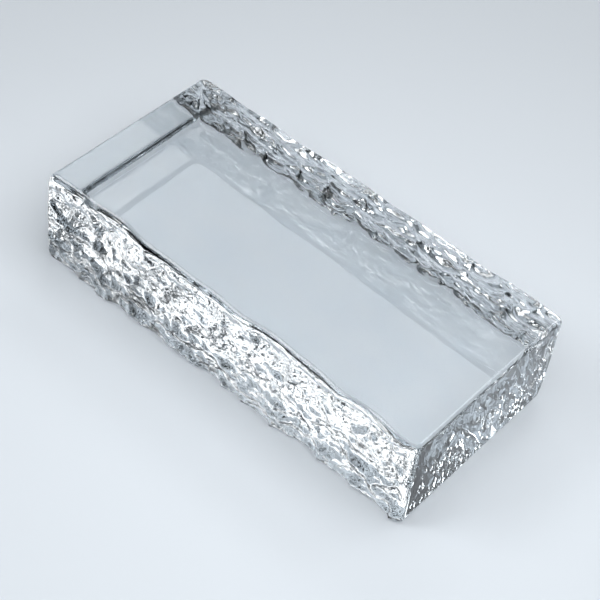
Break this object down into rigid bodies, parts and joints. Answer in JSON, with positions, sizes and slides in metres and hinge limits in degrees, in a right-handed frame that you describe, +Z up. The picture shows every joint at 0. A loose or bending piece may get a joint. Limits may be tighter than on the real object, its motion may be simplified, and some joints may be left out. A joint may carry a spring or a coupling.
{
  "type": "glass block",
  "caption": "Solid cast glass block with smooth top, underside and ends and rock-faced long sides, for laying in glass walls and screens.",
  "frame": {"origin": "middle of the underside, on the floor that the block lies on", "axes": "+X along the block's length towards the end with the clean upright corner, +Y across it from that corner's rock face to the other one, +Z up"},
  "size_m": [0.2, 0.1, 0.05],
  "materials": {
    "clear_glass": "fire-polished clear cast glass"
  },
  "bodies": {
    "root": {"glass_block": "clear_glass"}
  },
  "joints": []
}
